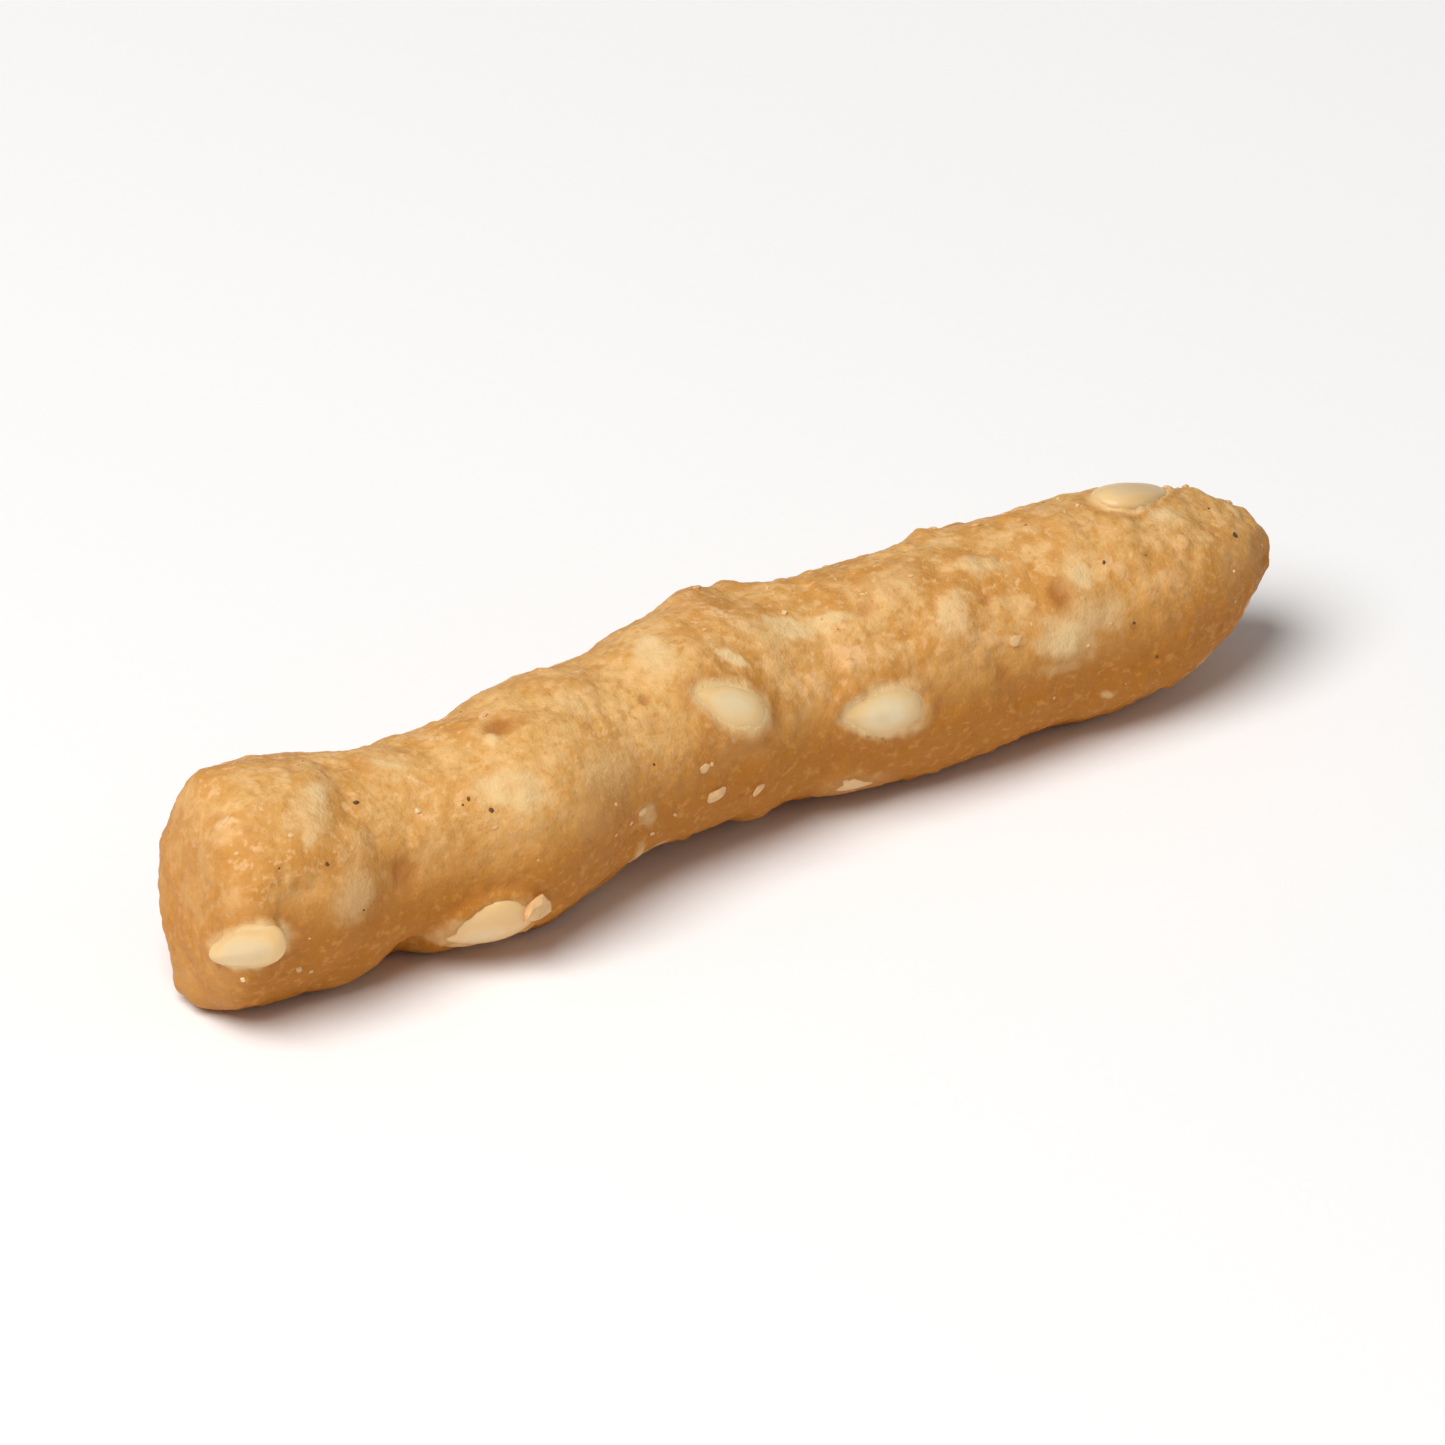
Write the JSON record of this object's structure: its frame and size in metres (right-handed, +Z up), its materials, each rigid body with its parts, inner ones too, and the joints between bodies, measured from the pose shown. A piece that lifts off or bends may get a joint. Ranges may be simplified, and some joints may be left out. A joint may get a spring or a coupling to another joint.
{
  "type": "sesame stick",
  "caption": "Fried sesame stick: an uneven rope of golden dough with hulled sesame seeds set in and under its crust, blunt at one end and tapered at the other.",
  "frame": {"origin": "middle of the stick's box at its underside, on the surface that it lies on", "axes": "+X along the stick from its blunt end to its tapered end, +Y to the far side as seen in the picture, +Z up"},
  "size_m": [0.039, 0.0084, 0.0071],
  "materials": {
    "fried_dough": "golden brown fried crust, satin, a little oily",
    "sesame_seed": "hulled ivory sesame seed, smooth and satin",
    "salt_and_crumb": "fine salt grains and pale crumbs, slightly glossy"
  },
  "bodies": {
    "root": {"sesame_stick": "fried_dough"}
  },
  "joints": []
}
